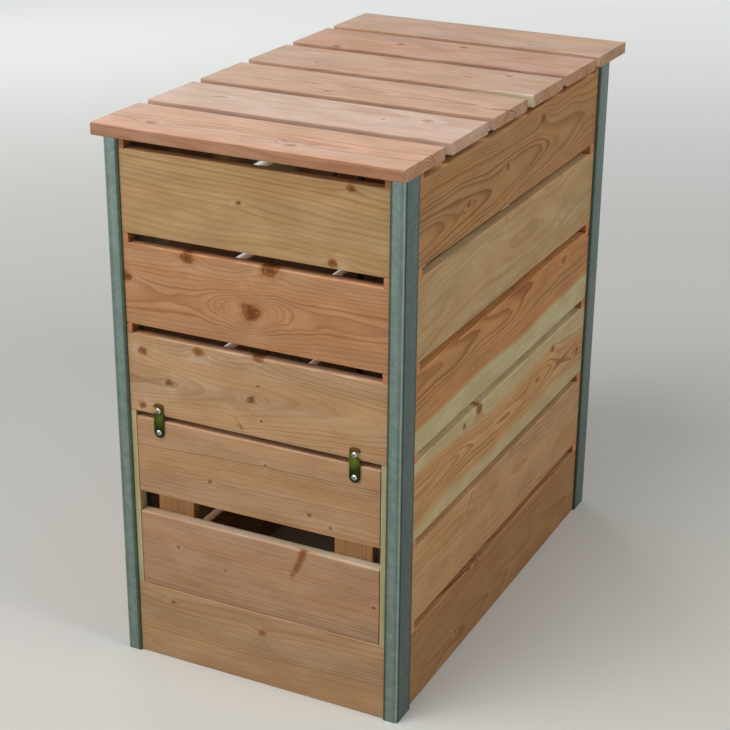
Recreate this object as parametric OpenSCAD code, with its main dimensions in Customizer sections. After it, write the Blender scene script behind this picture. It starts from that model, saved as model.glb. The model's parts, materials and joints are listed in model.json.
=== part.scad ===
// Wooden compost bin: four folded steel corner posts hold stacked boards with air gaps,
// a lid of six boards lies loose on top, and a flap in the front wall is held by two hook latches.
// The origin is on the ground, midway between the posts. X is to the right, Y to the back, Z up.
// The wall with the flap faces -Y. Rows of boards are numbered from the top down.

/* [Bin] */
// Width over the posts, left to right
body_w = 552; // [420:1:800]
// Depth over the posts, front to back
body_d = 948; // [840:1:1300]

/* [Boards] */
// Height of a wall board
board_h = 146; // [110:1:200]
// Thickness of the wall, flap and lid boards
board_t = 22; // [18:0.5:30]
// Radius of a board's rounded long edges
edge_r = 2.5; // [1:0.5:4]
// Height of the air gap over each wall board, held open by a spacer at each end
air_gap = 17; // [14:0.5:30]
// How far a front or back spacer shows past the post
face_spacer_show = 10; // [4:0.5:30]
// How far a side spacer shows past the post
side_spacer_show = 21; // [4:0.5:40]
// Air between a board's face and the steel
board_play = 0.3; // [0.1:0.1:1]
// Air between a board's end and the steel behind it
end_play = 1; // [0.5:0.1:3]

/* [Posts] */
// Thickness of the folded sheet
steel_t = 1.5; // [1:0.1:3]
// Width of a post's face on the front and back walls
post_face_w = 28; // [24:0.5:45]
// Width of a post's face on the side walls
post_side_w = 55; // [48:0.5:80]
// Outer radius of the corner fold
fold_r = 5; // [4:0.5:8]
// Outer radius of the lips that turn in on the boards
lip_r = 4; // [3.5:0.1:6]
// Outer radius of the fold between the two channels
channel_fold_r = 3.5; // [3.2:0.1:6]

/* [Flap] */
// Air beside the flap, at each side
flap_side_gap = 1.5; // [0.5:0.1:5]
// Air under the flap
flap_foot_gap = 0.8; // [0.3:0.1:3]
// Air over the flap
flap_top_gap = 10; // [4:0.5:16]
// From the flap's side edge in to its batten
flap_batten_inset = 24; // [5:1:60]
// From the flap's top edge down to its battens
flap_batten_drop = 12; // [0:1:30]
// How far the battens reach down behind the lowest board
tongue_len = 60; // [30:1:100]

/* [Battens] */
// Width of the flap's and the lid's battens
batten_w = 72; // [50:1:100]
// Thickness of the battens
batten_t = 22; // [18:0.5:30]
// Edge break along the battens
batten_edge_r = 1.5; // [0.5:0.5:3]

/* [Lid] */
// How far the lid reaches past the posts at each side
lid_side_over = 12; // [0:0.5:40]
// How far the lid reaches past the posts at the front and at the back, when it lies in the middle
lid_end_over = 26.5; // [21:0.5:45]
// Air between two lid boards
lid_gap = 25; // [5:0.5:40]
// Air between a lid batten and the side walls' posts, when the lid lies in the middle
lid_side_play = 12; // [9:0.5:40]
// Air between a lid batten's end and the wall, when the lid lies in the middle
lid_end_play = 28; // [24:0.5:45]
// How far the loose lid lies towards the back
lid_back = 20; // [0:0.5:20]
// How far the loose lid lies towards the left
lid_left = 3; // [0:0.5:4]
// How far the loose lid lies turned, in degrees, clockwise from above
lid_turn = 0.7; // [0:0.1:0.9]

/* [Latches] */
// Width of a latch strap
strap_w = 20; // [15:0.5:30]
// Thickness of a latch strap
strap_t = 2; // [1:0.1:3]
// Air between a strap and the boards behind it
strap_gap = 0.5; // [0.3:0.1:1]
// From the flap's side edge in to the latch
latch_inset = 46.5; // [25:0.5:100]
// From the flap's top edge down to the screw that the latch turns on
pivot_drop = 21.5; // [14:0.5:40]
// From the fixed board's lower edge up to the catch screw
catch_rise = 10; // [7:0.5:30]
// Radius of a strap's top corners
strap_corner_r = 6.5; // [2:0.5:7]
// Metal over the hook's notch
hook_rim = 7; // [3:0.5:12]
// Air between the hook's notch and the catch screw's head
hook_play = 0.5; // [0.3:0.1:2]
// Air between a strap's bore and its screw
pivot_play = 0.05; // [0.02:0.01:0.1]

/* [Screws] */
// Radius of a latch screw's shank
latch_screw_r = 2.5; // [2:0.1:4]
// Radius of a latch screw's round head
latch_head_r = 5; // [4.2:0.1:6.5]
// Height of a latch screw's round head
latch_head_h = 2.8; // [2:0.1:4]
// Radius of the other screws' shanks
screw_r = 2; // [1.5:0.1:3]
// Radius of the other screws' heads
screw_head_r = 4; // [3.5:0.1:6]
// Height of the other screws' heads
screw_head_h = 2.2; // [1.5:0.1:3]
// Width of the cross recess in the round heads
recess_w = 0.8; // [0.5:0.1:1.5]
// Depth of the cross recess
recess_deep = 1.2; // [0.5:0.1:1.3]
// How deep every screw bites into its board
screw_bite = 14; // [10:0.5:16]
// From the edge of what a batten holds, or the batten's end, in to the nearest screw
screw_edge = 18; // [10:1:20]
// Air between a screw and its hole in wood
hole_play = 0.05; // [0.02:0.01:0.2]
// Air between a screw and its hole in steel
steel_hole_play = 0.3; // [0.1:0.1:1]

/* [Hidden] */
$fn = 48;

LEFT = -1;
RIGHT = 1;
FRONT = -1;
BACK = 1;

// Rows of boards in a wall and boards in the lid
wall_rows = 6;
lid_boards = 6;
// The upper and the lower row of the front wall in which the flap stands
flap_rows = [4, 5];
row_over_flap = flap_rows[0] - 1;
row_under_flap = flap_rows[1] + 1;
front_rows = [for (row = [1 : wall_rows]) if (row < flap_rows[0] || row > flap_rows[1]) row];
// Rows whose boards are screwed to the posts
screwed_rows = [1, 3, 6];

// Places across a wall, from the posts' outer face inwards: the board lies behind the lip,
// and the channel's inner wall behind the board
board_in = lip_r + board_play;
channel_in = board_in + board_t + board_play;
channel_out = channel_in + steel_t;

// Heights
row_pitch = board_h + air_gap;
post_h = wall_rows * row_pitch;
function row_z(row) = (wall_rows - row) * row_pitch;

// Boards of the front and back walls run from post to post, and the side boards between the channels
face_board_len = body_w - 2 * (steel_t + end_play);
side_end_in = channel_out + screw_head_h + end_play;
side_board_len = body_d - 2 * side_end_in;
face_spacer_end = post_face_w + face_spacer_show;
side_spacer_end = post_side_w + side_spacer_show;

// The opening for the flap, and the flap in it
opening_z = row_z(row_under_flap) + board_h;
opening_h = row_z(row_over_flap) - opening_z;
flap_half_w = body_w / 2 - face_spacer_end - flap_side_gap;
flap_z = opening_z + flap_foot_gap;
flap_top_z = opening_z + opening_h - flap_top_gap;
flap_batten_x = flap_half_w - flap_batten_inset - batten_w / 2;
flap_batten_top = flap_top_z - flap_batten_drop;
flap_batten_foot = flap_z - tongue_len;

// The latches
latch_x = flap_half_w - latch_inset;
pivot_z = flap_top_z - pivot_drop;
catch_z = row_z(row_over_flap) + catch_rise;
latch_reach = catch_z - pivot_z;
notch_r = latch_head_r + hook_play;
strap_front = -body_d / 2 + board_in - strap_gap - strap_t;
latch_screw_len = strap_t + 2 * strap_gap + screw_bite;

// The lid
lid_len = body_w + 2 * lid_side_over;
lid_depth = body_d + 2 * lid_end_over;
lid_board_w = (lid_depth - (lid_boards - 1) * lid_gap) / lid_boards;
lid_batten_x = body_w / 2 - channel_out - lid_side_play - batten_w / 2;
lid_batten_len = body_d - 2 * (board_in + board_t + lid_end_play);
function lid_board_y(number) = -lid_depth / 2 + (number - 1) * (lid_board_w + lid_gap);

// Where two screws go in the stretch in which a board, from board_lo up by its width, meets its batten
function screw_pair(board_lo, width, batten_lo, batten_hi) =
    [max(board_lo, batten_lo) + screw_edge, min(board_lo + width, batten_hi) - screw_edge];

// How far a screw through the inner steel stands from the corner, along each wall
face_screw_in = (steel_t + channel_in) / 2;
side_screw_in = (side_end_in + post_side_w) / 2;
post_screw_len = steel_t + board_play + screw_bite;
batten_screw_len = batten_t + screw_bite;

// How far a cut runs past the faces it opens
cut_over = 1;

// Tones of wood and metal
larch = ["#c9a070", "#c28b66", "#c79b70", "#bd8f68", "#b98a68", "#c09270"];
sapwood = "#c9bd90";
batten_wood = "#b98c58";
galvanised = "#8fa09a";
yellow_zinc = "#8a8434";
bright_zinc = "#d8dbd6";

// Plan outline of a bar of wood, w by h, with its four edges rounded
module rounded_bar(w, h, r) {
    translate([r, 0]) square([w - 2 * r, h]);
    translate([0, r]) square([w, h - 2 * r]);
    for (x = [r, w - r], y = [r, h - r]) translate([x, y]) circle(r);
}

// A board or batten that lies along X with its middle at x = 0, from y = 0 and z = 0 up
module board(len, thick, height, r) {
    rotate([90, 0, 90]) linear_extrude(len, center = true) rounded_bar(thick, height, r);
}

// Puts what is drawn for the front left corner, with the corner at the origin, on one of the corners
module at_corner(side, end) {
    mirror([side == RIGHT ? 1 : 0, 0, 0]) mirror([0, end == BACK ? 1 : 0, 0])
        translate([-body_w / 2, -body_d / 2, 0]) children();
}

// A rod along Y or along X, from the origin on
module rod_y(r, len) rotate([-90, 0, 0]) cylinder(r = r, h = len);
module rod_x(r, len) rotate([0, 90, 0]) cylinder(r = r, h = len);

// Quarter of a ring: the sheet in a fold, bent about the origin, in the quadrant given by its signs
module fold(outer_r, sign_x, sign_y) {
    intersection() {
        difference() {
            circle(outer_r);
            circle(outer_r - steel_t);
        }
        translate([sign_x < 0 ? -outer_r : 0, sign_y < 0 ? -outer_r : 0]) square(outer_r);
    }
}

// Section of a post: an outer angle with lips, and an inner angle that makes two channels of it
module post_section() {
    translate([fold_r, fold_r]) fold(fold_r, -1, -1);
    translate([fold_r, 0]) square([post_face_w - lip_r - fold_r, steel_t]);
    translate([post_face_w - lip_r, lip_r]) fold(lip_r, 1, -1);
    translate([0, fold_r]) square([steel_t, post_side_w - lip_r - fold_r]);
    translate([lip_r, post_side_w - lip_r]) fold(lip_r, -1, 1);
    translate([0, channel_in]) square([channel_out - channel_fold_r, steel_t]);
    translate([channel_out - channel_fold_r, channel_in + channel_fold_r]) fold(channel_fold_r, 1, -1);
    translate([channel_in, channel_in + channel_fold_r])
        square([steel_t, post_side_w - channel_in - channel_fold_r]);
}

// One corner post, with the holes for the screws that hold the boards
module post(side, end) {
    color(galvanised) at_corner(side, end) difference() {
        linear_extrude(post_h) post_section();
        for (row = screwed_rows) {
            translate([face_screw_in, channel_in - cut_over, row_z(row) + board_h / 2])
                rod_y(screw_r + steel_hole_play, steel_t + 2 * cut_over);
            translate([channel_in - cut_over, side_screw_in, row_z(row) + board_h / 2])
                rod_x(screw_r + steel_hole_play, steel_t + 2 * cut_over);
        }
    }
}

// A screw with a round head at the origin, pointing along +Z
module round_screw(shank_r, head_r, head_h, len) {
    cylinder(r = shank_r, h = len);
    ball_r = (head_r * head_r + head_h * head_h) / (2 * head_h);
    difference() {
        intersection() {
            translate([0, 0, ball_r - head_h]) sphere(ball_r);
            translate([0, 0, -head_h]) cylinder(r = head_r, h = head_h);
        }
        for (turn = [0, 90]) rotate([0, 0, turn])
            translate([-head_r / 2, -recess_w / 2, -head_h]) cube([head_r, recess_w, recess_deep]);
    }
}

// A screw with a flat countersunk head, its face at the origin, pointing along +Z
module flat_screw(len) {
    cylinder(r1 = screw_head_r, r2 = screw_r, h = screw_head_h);
    cylinder(r = screw_r, h = len);
}

// The hole for it, which runs out past the head's face
module flat_screw_hole(len) {
    head_bore_r = screw_head_r + hole_play;
    bore_r = screw_r + hole_play;
    rotate_extrude() polygon([
        [0, -cut_over], [head_bore_r, -cut_over], [head_bore_r, 0],
        [bore_r, screw_head_h], [bore_r, len + hole_play], [0, len + hole_play]
    ]);
}

// Where the front and back boards' screws start, behind the channel's inner wall, pointing out
module at_face_screws(end, side) {
    for (row = screwed_rows)
        at_corner(side, end) translate([face_screw_in, channel_out, row_z(row) + board_h / 2])
            rotate([90, 0, 0]) children();
}

// Where the side boards' screws start, inside the channel's inner wall, pointing out
module at_side_screws(side, end) {
    for (row = screwed_rows)
        at_corner(side, end) translate([channel_out, side_screw_in, row_z(row) + board_h / 2])
            rotate([0, -90, 0]) children();
}

// The screws that hold the front or the back wall in its two posts
module face_post_screws(end) {
    color(bright_zinc) for (side = [LEFT, RIGHT]) at_face_screws(end, side)
        round_screw(screw_r, screw_head_r, screw_head_h, post_screw_len);
}

// The screws that hold a side wall in its two posts
module side_post_screws(side) {
    color(bright_zinc) for (end = [FRONT, BACK]) at_side_screws(side, end)
        round_screw(screw_r, screw_head_r, screw_head_h, post_screw_len);
}

// A board of the front or back wall
module face_board(end, row) {
    color(larch[row - 1]) difference() {
        translate([0, end * (body_d / 2 - board_in - board_t / 2) - board_t / 2, row_z(row)])
            board(face_board_len, board_t, board_h, edge_r);
        for (side = [LEFT, RIGHT]) at_face_screws(end, side)
            cylinder(r = screw_r + hole_play, h = post_screw_len + hole_play);
        if (end == FRONT && row == row_over_flap) at_latch_screws(catch_z)
            cylinder(r = latch_screw_r + hole_play, h = latch_screw_len + hole_play);
    }
}

// A board of a side wall
module side_board(side, row) {
    color(larch[(row + 1) % wall_rows]) difference() {
        translate([side * (body_w / 2 - board_in - board_t / 2) + board_t / 2, 0, row_z(row)])
            rotate([0, 0, 90]) board(side_board_len, board_t, board_h, edge_r);
        for (end = [FRONT, BACK]) at_side_screws(side, end)
            cylinder(r = screw_r + hole_play, h = post_screw_len + hole_play);
    }
}

// The spacers over the boards of the front or back wall; the flap's uprights take their place there
module face_spacers(end) {
    rows = end == FRONT ? [for (row = front_rows) if (row != row_under_flap) row] : [1 : wall_rows];
    color(batten_wood) for (side = [LEFT, RIGHT], row = rows)
        at_corner(side, end) translate([steel_t + end_play, board_in, row_z(row) + board_h])
            cube([face_spacer_end - steel_t - end_play, board_t, air_gap]);
}

// The spacers over the boards of a side wall
module side_spacers(side) {
    color(batten_wood) for (end = [FRONT, BACK], row = [1 : wall_rows])
        at_corner(side, end) translate([board_in, side_end_in, row_z(row) + board_h])
            cube([board_t, side_spacer_end - side_end_in, air_gap]);
}

// The upright beside the flap, between the lowest board and the board over the flap
module flap_upright(side) {
    color(sapwood) at_corner(side, FRONT) translate([steel_t + end_play, board_in, opening_z])
        cube([face_spacer_end - steel_t - end_play, board_t, opening_h]);
}

// Where the latch screws' heads sit on their straps, at a height, pointing in
module at_latch_screws(z) {
    for (side = [LEFT, RIGHT])
        translate([side * latch_x, strap_front - strap_gap, z]) rotate([-90, 0, 0]) children();
}

// Four pairs of screws hold the two flap boards to the battens, from the inside
module at_flap_screws() {
    for (x = [-flap_batten_x, flap_batten_x], board_z = [flap_z, flap_top_z - board_h])
        for (z = screw_pair(board_z, board_h, flap_batten_foot, flap_batten_top))
            translate([x, -body_d / 2 + board_in + board_t + batten_t, z]) rotate([90, 0, 0]) children();
}

// A board of the flap, from the height z up
module flap_board(tone, z) {
    color(tone) difference() {
        translate([0, -body_d / 2 + board_in, z]) board(2 * flap_half_w, board_t, board_h, edge_r);
        at_flap_screws() flat_screw_hole(batten_screw_len);
        at_latch_screws(pivot_z)
            cylinder(r = latch_screw_r + hole_play, h = latch_screw_len + hole_play);
    }
}

// A batten behind the flap boards; its foot is the tongue behind the lowest board
module flap_batten(side) {
    color(batten_wood) difference() {
        translate([side * flap_batten_x - batten_w / 2, board_in + board_t - body_d / 2, flap_batten_foot])
            linear_extrude(flap_batten_top - flap_batten_foot)
                rounded_bar(batten_w, batten_t, batten_edge_r);
        at_flap_screws() flat_screw_hole(batten_screw_len);
    }
}

module flap_screws() {
    color(bright_zinc) at_flap_screws() flat_screw(batten_screw_len);
}

// A hook latch: a flat strap that turns on its lower screw. The notch opens towards the bin's side,
// and its edges are arcs about the lower screw, so the hook swings clear of the catch screw
module latch(side) {
    strap_top = latch_reach + notch_r + hook_rim;
    color(yellow_zinc) translate([side * latch_x, strap_front + strap_t, pivot_z]) rotate([90, 0, 0])
        linear_extrude(strap_t) mirror([side == LEFT ? 1 : 0, 0, 0]) difference() {
            union() {
                circle(strap_w / 2);
                translate([-strap_w / 2, 0]) square([strap_w, strap_top - strap_corner_r]);
                translate([strap_corner_r - strap_w / 2, 0])
                    square([strap_w - 2 * strap_corner_r, strap_top]);
                for (x = [strap_corner_r - strap_w / 2, strap_w / 2 - strap_corner_r])
                    translate([x, strap_top - strap_corner_r]) circle(strap_corner_r);
            }
            circle(latch_screw_r + pivot_play);
            translate([0, latch_reach]) circle(notch_r);
            intersection() {
                difference() {
                    circle(latch_reach + notch_r);
                    circle(latch_reach - notch_r);
                }
                translate([0, latch_reach - strap_w / 2]) square(strap_w);
            }
        }
}

// The screws that the latches turn on, in the flap
module latch_pivot_screws() {
    color(bright_zinc) at_latch_screws(pivot_z)
        round_screw(latch_screw_r, latch_head_r, latch_head_h, latch_screw_len);
}

// The screws that the hooks close on, in the fixed board over the flap
module latch_catch_screws() {
    color(bright_zinc) at_latch_screws(catch_z)
        round_screw(latch_screw_r, latch_head_r, latch_head_h, latch_screw_len);
}

// Puts what is drawn for a lid in the middle of the bin, with its underside at z = 0, where it lies
module on_posts() {
    translate([-lid_left, lid_back, post_h]) rotate([0, 0, -lid_turn]) children();
}

// Each lid board is held from below by two screws through each batten
module at_lid_screws() {
    for (x = [-lid_batten_x, lid_batten_x], number = [1 : lid_boards])
        for (y = screw_pair(lid_board_y(number), lid_board_w, -lid_batten_len / 2, lid_batten_len / 2))
            translate([x, y, -batten_t]) children();
}

// A board of the lid, numbered from the front
module lid_board(number) {
    color(larch[lid_boards - number]) on_posts() difference() {
        translate([0, lid_board_y(number), 0]) board(lid_len, lid_board_w, board_t, edge_r);
        at_lid_screws() flat_screw_hole(batten_screw_len);
    }
}

// A batten under the lid boards, inside the walls
module lid_batten(side) {
    color(batten_wood) on_posts() difference() {
        translate([side * lid_batten_x, 0, -batten_t]) rotate([0, 0, 90])
            translate([0, -batten_w / 2, 0]) board(lid_batten_len, batten_w, batten_t, batten_edge_r);
        at_lid_screws() flat_screw_hole(batten_screw_len);
    }
}

module lid_screws() {
    color(bright_zinc) on_posts() at_lid_screws() flat_screw(batten_screw_len);
}

post(LEFT, FRONT);  // post_front_left
post(RIGHT, FRONT);  // post_front_right
post(LEFT, BACK);  // post_back_left
post(RIGHT, BACK);  // post_back_right
face_board(FRONT, 1);  // front_board_1
face_board(FRONT, 2);  // front_board_2
face_board(FRONT, 3);  // front_board_3
face_board(FRONT, 6);  // front_board_6
face_board(BACK, 1);  // back_board_1
face_board(BACK, 2);  // back_board_2
face_board(BACK, 3);  // back_board_3
face_board(BACK, 4);  // back_board_4
face_board(BACK, 5);  // back_board_5
face_board(BACK, 6);  // back_board_6
side_board(LEFT, 1);  // left_board_1
side_board(LEFT, 2);  // left_board_2
side_board(LEFT, 3);  // left_board_3
side_board(LEFT, 4);  // left_board_4
side_board(LEFT, 5);  // left_board_5
side_board(LEFT, 6);  // left_board_6
side_board(RIGHT, 1);  // right_board_1
side_board(RIGHT, 2);  // right_board_2
side_board(RIGHT, 3);  // right_board_3
side_board(RIGHT, 4);  // right_board_4
side_board(RIGHT, 5);  // right_board_5
side_board(RIGHT, 6);  // right_board_6
face_spacers(FRONT);  // front_spacers
face_spacers(BACK);  // back_spacers
side_spacers(LEFT);  // left_spacers
side_spacers(RIGHT);  // right_spacers
face_post_screws(FRONT);  // front_post_screws
face_post_screws(BACK);  // back_post_screws
side_post_screws(LEFT);  // left_post_screws
side_post_screws(RIGHT);  // right_post_screws
flap_upright(LEFT);  // flap_upright_left
flap_upright(RIGHT);  // flap_upright_right
flap_board(larch[3], flap_top_z - board_h);  // flap_board_upper
flap_board(larch[4], flap_z);  // flap_board_lower
flap_batten(LEFT);  // flap_batten_left
flap_batten(RIGHT);  // flap_batten_right
flap_screws();
latch(LEFT);  // latch_left
latch(RIGHT);  // latch_right
latch_pivot_screws();
latch_catch_screws();
lid_board(1);  // lid_board_1
lid_board(2);  // lid_board_2
lid_board(3);  // lid_board_3
lid_board(4);  // lid_board_4
lid_board(5);  // lid_board_5
lid_board(6);  // lid_board_6
lid_batten(LEFT);  // lid_batten_left
lid_batten(RIGHT);  // lid_batten_right
lid_screws();
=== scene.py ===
"""Looks for the wooden compost bin: boards, sheet posts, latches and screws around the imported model."""

import json
import math
from typing import NamedTuple

import bpy
import numpy as np
from mathutils import Matrix, Vector
from mathutils.geometry import tessellate_polygon


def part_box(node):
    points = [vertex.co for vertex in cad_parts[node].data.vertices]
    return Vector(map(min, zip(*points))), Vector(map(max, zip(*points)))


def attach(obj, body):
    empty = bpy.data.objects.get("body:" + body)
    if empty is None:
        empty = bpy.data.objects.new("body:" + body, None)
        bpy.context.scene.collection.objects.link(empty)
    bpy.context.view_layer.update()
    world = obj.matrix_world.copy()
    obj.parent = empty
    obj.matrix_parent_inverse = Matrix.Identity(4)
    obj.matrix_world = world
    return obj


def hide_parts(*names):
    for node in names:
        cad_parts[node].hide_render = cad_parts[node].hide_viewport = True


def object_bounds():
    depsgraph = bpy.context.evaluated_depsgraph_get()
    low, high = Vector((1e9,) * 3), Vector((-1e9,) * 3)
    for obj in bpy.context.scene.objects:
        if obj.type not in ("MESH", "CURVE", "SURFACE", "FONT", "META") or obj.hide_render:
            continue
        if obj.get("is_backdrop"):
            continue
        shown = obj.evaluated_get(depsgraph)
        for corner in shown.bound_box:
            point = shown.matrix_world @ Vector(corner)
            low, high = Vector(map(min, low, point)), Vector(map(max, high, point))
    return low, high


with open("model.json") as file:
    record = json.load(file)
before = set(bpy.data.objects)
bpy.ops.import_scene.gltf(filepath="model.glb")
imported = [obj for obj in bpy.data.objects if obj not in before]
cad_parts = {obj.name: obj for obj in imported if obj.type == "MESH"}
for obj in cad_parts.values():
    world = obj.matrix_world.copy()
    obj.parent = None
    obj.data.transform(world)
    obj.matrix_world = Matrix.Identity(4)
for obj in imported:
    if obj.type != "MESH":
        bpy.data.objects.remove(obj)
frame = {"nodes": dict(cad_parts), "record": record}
cad_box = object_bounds()

MM = 0.001
BODY_OF = {n: body for body, names in frame["record"]["behaviour"]["bodies"].items() for n in names}

# How the loose lid lies: turned about the vertical, then moved to the left and to the back
LID_TURN = math.radians(-0.7)
LID_SHIFT = Vector((-0.003, 0.020, 0.0))

X, Y, Z = Vector((1, 0, 0)), Vector((0, 1, 0)), Vector((0, 0, 1))


def linear(red, green, blue):
    """A colour given as it looks on a screen, 0 to 255, as the light values that shaders use."""
    c = np.array([red, green, blue]) / 255
    return (*np.where(c <= 0.04045, c / 12.92, ((c + 0.055) / 1.055) ** 2.4), 1.0)


# Node tools


class Net:
    """A node tree being wired. Each call adds a node or two, joins or sets their inputs and gives
    the output. split and group give all outputs."""

    def __init__(self, tree):
        self.tree = tree

    def add(self, kind, inputs=(), out=0, **settings):
        node = self.tree.nodes.new(kind)
        for name, value in settings.items():
            setattr(node, name, value)
        for key, value in dict(inputs).items():
            if isinstance(value, bpy.types.NodeSocket):
                self.tree.links.new(value, node.inputs[key])
            else:
                node.inputs[key].default_value = value
        return node.outputs[out]

    def math(self, operation, *values, clamp=False):
        return self.add("ShaderNodeMath", enumerate(values), operation=operation, use_clamp=clamp)

    def vector(self, operation, *values):
        out = "Value" if operation in ("DOT_PRODUCT", "LENGTH") else "Vector"
        inputs = {0: values[0], "Scale": values[1]} if operation == "SCALE" else enumerate(values)
        return self.add("ShaderNodeVectorMath", inputs, out, operation=operation)

    def length(self, vector, counted):
        """A vector's length, with each axis counted as much as given."""
        return self.vector("LENGTH", self.vector("MULTIPLY", vector, counted))

    def noise(self, vector, scale=1.0, detail=2.0, rough=0.5, out="Fac"):
        inputs = {"Vector": vector, "Scale": scale, "Detail": detail, "Roughness": rough}
        return self.add("ShaderNodeTexNoise", inputs, out)

    def ramp(self, value, low, high):
        """0 below low, 1 above high, and a smooth rise between them. low over high turns it round."""
        inputs = {"Value": value, "From Min": low, "From Max": high}
        if low > high:
            inputs.update({"From Min": high, "From Max": low, "To Min": 1.0, "To Max": 0.0})
        return self.add("ShaderNodeMapRange", inputs, interpolation_type="SMOOTHSTEP")

    def times(self, a, b):
        return self.math("MULTIPLY", a, b)

    def line(self, value, slope, start):
        return self.math("MULTIPLY_ADD", value, slope, start)

    def varied(self, vector, scale, low, high):
        """A factor that wanders between low and high."""
        return self.line(self.noise(vector, scale, detail=1.0), high - low, low)

    def mix(self, share, a, b, blend="MIX"):
        inputs = {0: share, 6: a, 7: b}
        return self.add("ShaderNodeMix", inputs, 2, data_type="RGBA", blend_type=blend)

    def tint(self, share, colour, factors):
        """A colour of which a share is multiplied by the factors."""
        return self.mix(share, colour, factors, "MULTIPLY")

    def split(self, vector):
        return self.add("ShaderNodeSeparateXYZ", {0: vector}).node.outputs

    def group(self, made, **inputs):
        """Places a node group. Inputs are its sockets' names with _ for a space."""
        inputs = {name.replace("_", " "): value for name, value in inputs.items()}
        return self.add("ShaderNodeGroup", inputs, node_tree=made).node.outputs


def new_group(name, vectors, factors, outputs):
    """A shader node group that takes vectors and factors and puts out factors. Gives its net, its
    inputs, and a call that joins a value to an output."""
    tree = bpy.data.node_groups.new(name, "ShaderNodeTree")
    for way, kind, names in (
        ("INPUT", "NodeSocketVector", vectors),
        ("INPUT", "NodeSocketFloat", factors),
        ("OUTPUT", "NodeSocketFloat", outputs),
    ):
        for socket in names:
            tree.interface.new_socket(socket, in_out=way, socket_type=kind)
    source = tree.nodes.new("NodeGroupInput").outputs
    sink = tree.nodes.new("NodeGroupOutput").inputs
    return Net(tree), source, lambda output, value: tree.links.new(value, sink[output])


# How fast the pith's wander and the rings' ripple change along and across the trunk, for each mm, and
# the ripple's reach in mm
WANDER_PACE, RIPPLE_PACE, RIPPLE = (0.0035, 0.012, 0.012), (0.012, 0.07, 0.07), 2.4


def growth_rings_group():
    """Distance from the pith, in mm. The pith runs along X, leans by Lean for each mm, and both it
    and the rings wander with a slow noise that is stretched along the trunk."""
    vectors = ["Position", "Pith", "Lean", "Seed"]
    net, source, give = new_group("Growth Rings", vectors, ["Wander"], ["Radius"])
    at = source["Position"]
    along = net.split(at)[0]

    def drift(pace, detail, reach):
        """A shift across the trunk, even about 0."""
        noise = net.noise(net.vector("MULTIPLY_ADD", at, pace, source["Seed"]), detail=detail, out="Color")
        return net.vector("MULTIPLY", net.vector("SUBTRACT", noise, (0.5, 0.5, 0.5)), (0, reach, reach))

    wave = net.vector("SCALE", drift(WANDER_PACE, 1.0, 1.0), source["Wander"])
    ripple = drift(RIPPLE_PACE, 2.0, RIPPLE)
    pith = net.vector("ADD", source["Pith"], net.vector("SCALE", source["Lean"], along))
    off = net.vector("SUBTRACT", net.vector("ADD", at, net.vector("ADD", wave, ripple)), pith)
    give("Radius", net.length(off, (0, 1, 1)))
    return net.tree


# How much a distance along the trunk counts, for a knot and for the bend of the rings round it
KNOT_LONG, BEND_LONG = 0.82, 0.4
# Where the bend starts, in sizes, and how it fades: e to the power of -BEND_FADE times its power
BEND_FROM, BEND_POWER, BEND_FADE = 0.5, 1.5, 0.55


def branch_group():
    """One branch in the trunk, from Pith End to Bark End, in mm. Nearest becomes the least of itself
    and the distance to the branch over Size, plus Faint. Radius falls by Swirl sizes at the branch
    and eases back around it, further along the trunk than across, so the rings bend round the knot.
    One noise, measured in sizes, makes the knot's outline uneven, and another one the bend."""
    factors = ["Size", "Swirl", "Faint", "Radius", "Nearest"]
    net, source, give = new_group("Branch", ["Position", "Pith End", "Bark End"], factors, factors[3:])
    axis = net.vector("SUBTRACT", source["Bark End"], source["Pith End"])
    off = net.vector("SUBTRACT", source["Position"], source["Pith End"])
    share = net.math("DIVIDE", net.vector("DOT_PRODUCT", off, axis),
                     net.vector("DOT_PRODUCT", axis, axis), clamp=True)
    off = net.vector("SUBTRACT", off, net.vector("SCALE", axis, share))
    size = source["Size"]
    near = net.length(off, (KNOT_LONG, 1, 1))
    in_sizes = net.vector("SCALE", source["Position"], net.math("DIVIDE", 1.0, size))
    uneven = net.varied(in_sizes, 0.6, 0.35, 1.65)
    ratio = net.line(net.math("DIVIDE", near, size), uneven, source["Faint"])
    bent = net.varied(source["Position"], 0.02, 0.65, 1.35)
    far = net.times(net.length(off, (BEND_LONG, 1, 1)), bent)
    past = net.math("MAXIMUM", net.math("SUBTRACT", net.math("DIVIDE", far, size), BEND_FROM), 0.0)
    fall = net.math("EXPONENT", net.times(net.math("POWER", past, BEND_POWER), -BEND_FADE))
    lift = net.times(net.times(fall, size), source["Swirl"])
    give("Radius", net.math("SUBTRACT", source["Radius"], lift))
    give("Nearest", net.math("MINIMUM", source["Nearest"], ratio))
    return net.tree


# Within a year: where late wood starts, where it is darkest, and where it starts to end
LATE_FROM, LATE_FULL, LATE_END = 0.35, 0.93, 0.94
# How fast the years' widths change, and how far that shifts a ring, in years
WIDTH_PACE, WIDTH_SHIFT = 0.45, 1.6
# Late wood is LEAST strong, or up to MORE above that in a few years: the power keeps those few
LEAST, MORE, KEEP_FEW = 0.15, 0.72, 1.4


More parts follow.
